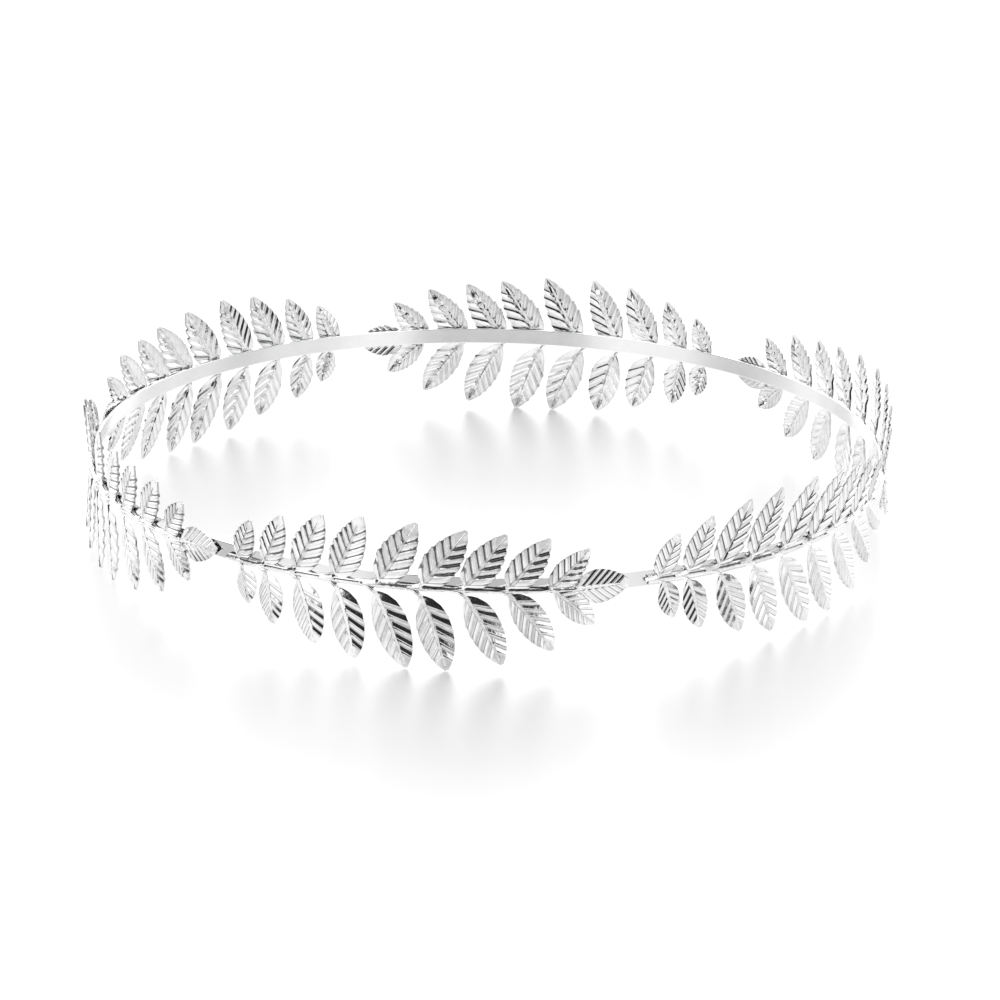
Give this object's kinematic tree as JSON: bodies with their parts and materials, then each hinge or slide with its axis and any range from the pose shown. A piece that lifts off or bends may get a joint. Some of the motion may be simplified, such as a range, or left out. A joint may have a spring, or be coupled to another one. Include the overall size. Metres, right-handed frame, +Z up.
{
  "type": "laurel wreath crown",
  "caption": "Open circular metal crown: a slim flat band with stamped laurel sprays on its outer face, worn round the head.",
  "frame": {"origin": "on the surface that the crown stands on, under the middle of the band", "axes": "+Z up along the band's own axis, -Y towards the front spray, +X to the right as seen from the front"},
  "size_m": [0.1814, 0.1821, 0.0339],
  "materials": {
    "plated_band": "polished silver plating, mirror-like with faint rolling lines",
    "plated_leaves": "bright silver plating over stamped leaves, a little darker in the folds"
  },
  "bodies": {
    "root": {"band": "plated_band", "spray_1": "plated_leaves", "spray_2": "plated_leaves", "spray_3": "plated_leaves", "spray_4": "plated_leaves", "spray_5": "plated_leaves", "spray_6": "plated_leaves"}
  },
  "joints": []
}
